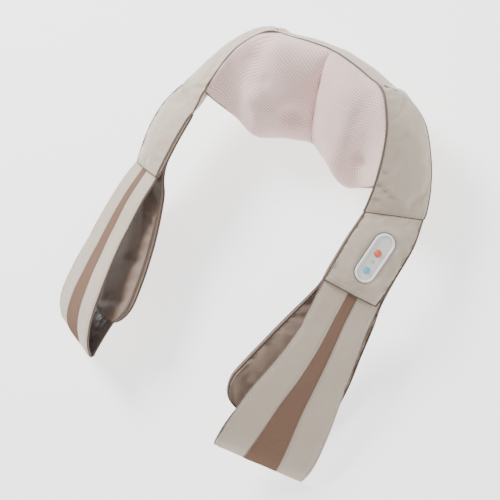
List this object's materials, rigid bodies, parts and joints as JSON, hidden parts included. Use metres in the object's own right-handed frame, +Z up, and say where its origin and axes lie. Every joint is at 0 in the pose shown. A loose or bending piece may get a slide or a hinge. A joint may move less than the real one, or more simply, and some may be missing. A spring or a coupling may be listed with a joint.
{
  "type": "shiatsu neck massager",
  "caption": "U-shaped padded yoke with rotating kneading heads under a mesh cover at the neck, a control panel on one arm and hand loops at both ends.",
  "frame": {"origin": "under the middle of the bounding box, on the surface the yoke lies on", "axes": "+Z up from the surface, -Y from the neck section along the arms to the hand loops, +X to the arm that carries the control panel"},
  "size_m": [0.4434, 0.5168, 0.1567],
  "materials": {
    "cover_leather": "beige faux leather, fine grain, piped seams",
    "mesh_fabric": "pale pink spacer mesh with square holes",
    "paddle_lining": "taupe padded fabric with piped edge",
    "stripe_leather": "brown faux leather",
    "acetal": "natural acetal",
    "steel": "turned steel",
    "bronze": "sintered bronze",
    "black_plastic": "black moulded plastic",
    "head_plastic": "smooth moulded plastic",
    "copper_winding": "wound armature",
    "circuit_board": "green circuit board",
    "panel_white": "white satin plastic",
    "panel_grey": "light grey membrane",
    "power_red": "translucent red dome",
    "mode_blue": "translucent blue dome",
    "lamp_green": "pale green lens"
  },
  "bodies": {
    "neck": {"back_cover": "cover_leather", "front_housing": "black_plastic", "rear_housing": "black_plastic", "motor_can": "steel", "motor_end_cap": "black_plastic", "driver_board": "circuit_board", "mesh_cover_left": "mesh_fabric", "shoulder_pad_left": "cover_leather", "motor_magnet_left": "black_plastic", "output_bush_left": "bronze", "counter_axle_left": "steel", "case_screw_left_lower": "steel", "case_screw_left_upper": "steel", "mesh_cover_right": "mesh_fabric", "shoulder_pad_right": "cover_leather", "motor_magnet_right": "black_plastic", "output_bush_right": "bronze", "counter_axle_right": "steel", "case_screw_right_lower": "steel", "case_screw_right_upper": "steel"},
    "arm_left": {"arm_pad_left": "cover_leather", "strap_left": "cover_leather", "strap_stripe_left": "stripe_leather", "paddle_left": "paddle_lining", "panel_bezel": "panel_white", "panel_face": "panel_grey", "panel_board": "circuit_board", "panel_back_shell": "panel_white", "panel_lamp": "lamp_green", "dc_inlet": "black_plastic"},
    "arm_right": {"arm_pad_right": "cover_leather", "strap_right": "cover_leather", "strap_stripe_right": "stripe_leather", "paddle_right": "paddle_lining"},
    "power_key": {"power_button": "power_red"},
    "mode_key": {"mode_button": "mode_blue"},
    "rotor": {"motor_rotor": "copper_winding", "worm": "bronze"},
    "disc_left": {"kneading_disc_left": "black_plastic", "output_shaft_left": "steel", "output_gear_left": "acetal", "head_pin_left_lower": "steel", "head_pin_left_upper": "steel"},
    "counter_left": {"counter_gear_left": "acetal"},
    "head_left_lower": {"massage_head_left_lower": "head_plastic"},
    "head_left_upper": {"massage_head_left_upper": "head_plastic"},
    "disc_right": {"kneading_disc_right": "black_plastic", "output_shaft_right": "steel", "output_gear_right": "acetal", "head_pin_right_lower": "steel", "head_pin_right_upper": "steel"},
    "counter_right": {"counter_gear_right": "acetal"},
    "head_right_lower": {"massage_head_right_lower": "head_plastic"},
    "head_right_upper": {"massage_head_right_upper": "head_plastic"}
  },
  "joints": [
    {"name": "arm_left_flex", "type": "hinge", "parent": "neck", "child": "arm_left", "pos_m": [0.1635, 0.10465, 0.09988], "axis": [-0.7338, -0.3798, 0.5632], "range_deg": [-1.5, 20], "stiffness_Nm_per_rad": 40},
    {"name": "arm_right_flex", "type": "hinge", "parent": "neck", "child": "arm_right", "pos_m": [-0.1635, 0.10465, 0.09988], "axis": [-0.7338, 0.3798, -0.5632], "range_deg": [-1.5, 20], "stiffness_Nm_per_rad": 40},
    {"name": "power_press", "type": "slide", "parent": "arm_left", "child": "power_key", "axis": [-0.5435, 0.0328, -0.8388], "range_m": [0, 0.0006], "stiffness_N_per_m": 800},
    {"name": "mode_press", "type": "slide", "parent": "arm_left", "child": "mode_key", "axis": [-0.5435, 0.0328, -0.8388], "range_m": [0, 0.0006], "stiffness_N_per_m": 800},
    {"name": "disc_left_spin", "type": "hinge", "parent": "neck", "child": "disc_left", "pos_m": [0.048, 0.18716, 0.08412], "axis": [0, -0.6157, 0.788], "continuous": true},
    {"name": "counter_left_spin", "type": "hinge", "parent": "neck", "child": "counter_left", "pos_m": [0.0135, 0.19947, 0.06836], "axis": [0, -0.6157, 0.788], "continuous": true},
    {"name": "head_left_upper_spin", "type": "hinge", "parent": "disc_left", "child": "head_left_upper", "pos_m": [0.048, 0.20425, 0.11016], "axis": [0, -0.6157, 0.788], "continuous": true},
    {"name": "head_left_lower_spin", "type": "hinge", "parent": "disc_left", "child": "head_left_lower", "pos_m": [0.048, 0.15775, 0.07384], "axis": [0, -0.6157, 0.788], "continuous": true},
    {"name": "disc_right_spin", "type": "hinge", "parent": "neck", "child": "disc_right", "pos_m": [-0.048, 0.18716, 0.08412], "axis": [0, -0.6157, 0.788], "continuous": true},
    {"name": "counter_right_spin", "type": "hinge", "parent": "neck", "child": "counter_right", "pos_m": [-0.0135, 0.19947, 0.06836], "axis": [0, -0.6157, 0.788], "continuous": true},
    {"name": "head_right_upper_spin", "type": "hinge", "parent": "disc_right", "child": "head_right_upper", "pos_m": [-0.048, 0.20425, 0.11016], "axis": [0, -0.6157, 0.788], "continuous": true},
    {"name": "head_right_lower_spin", "type": "hinge", "parent": "disc_right", "child": "head_right_lower", "pos_m": [-0.048, 0.15775, 0.07384], "axis": [0, -0.6157, 0.788], "continuous": true},
    {"name": "rotor_spin", "type": "hinge", "parent": "neck", "child": "rotor", "pos_m": [0, 0.20169, 0.06552], "axis": [0, 0.788, 0.6157], "continuous": true}
  ],
  "couplings": [
    {"joint": "disc_left_spin", "follows": "rotor_spin", "ratio": -0.013889},
    {"joint": "disc_right_spin", "follows": "rotor_spin", "ratio": 0.013889},
    {"joint": "counter_left_spin", "follows": "rotor_spin", "ratio": 0.055556},
    {"joint": "counter_right_spin", "follows": "rotor_spin", "ratio": -0.055556}
  ]
}
